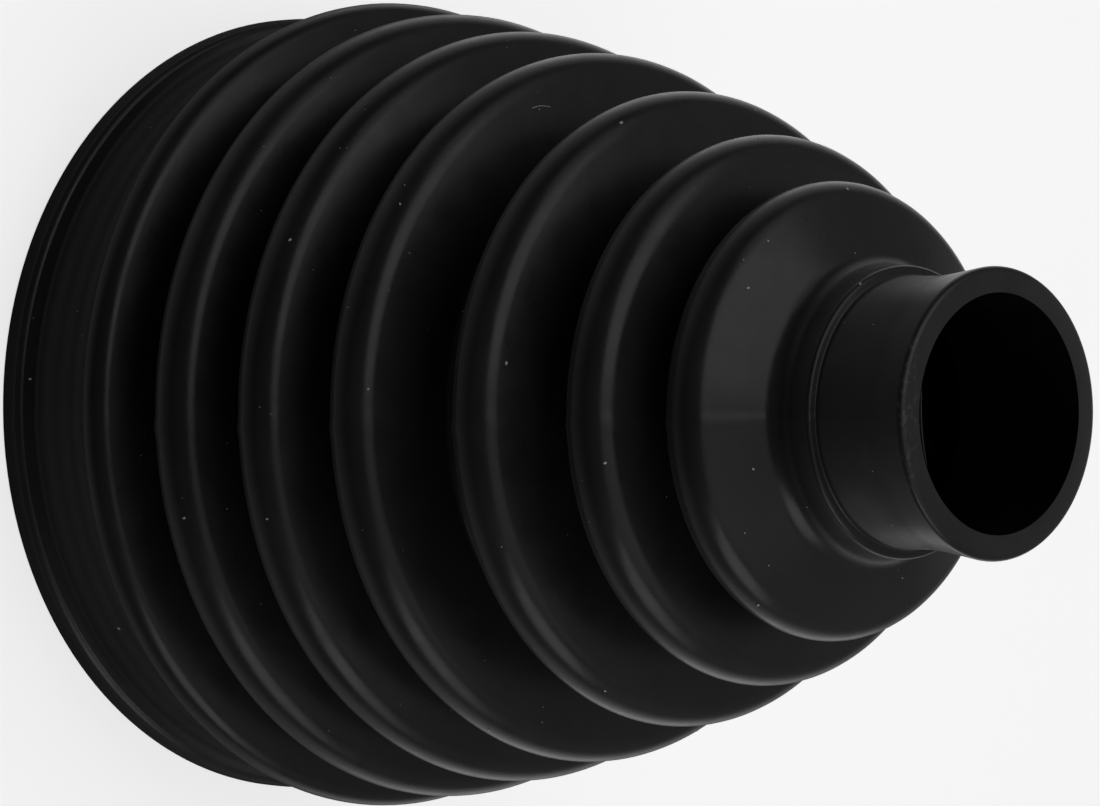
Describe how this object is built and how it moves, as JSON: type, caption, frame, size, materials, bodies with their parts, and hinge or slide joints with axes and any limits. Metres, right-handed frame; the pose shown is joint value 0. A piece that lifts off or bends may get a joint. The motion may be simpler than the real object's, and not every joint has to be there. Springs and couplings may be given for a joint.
{
  "type": "rubber bellows boot",
  "caption": "Tapered rubber bellows boot with a wide clamp collar at one end, rounded folds that step down in size, and a narrow clamp collar at the other.",
  "frame": {"origin": "centre of the large end face, which is the lowest face of the boot", "axes": "+Z along the boot's axis, from the large end to the small end; X and Y are any two directions square to it"},
  "size_m": [0.0862, 0.0862, 0.1],
  "materials": {
    "rubber": "satin"
  },
  "bodies": {
    "root": {"bellows_boot": "rubber"}
  },
  "joints": []
}
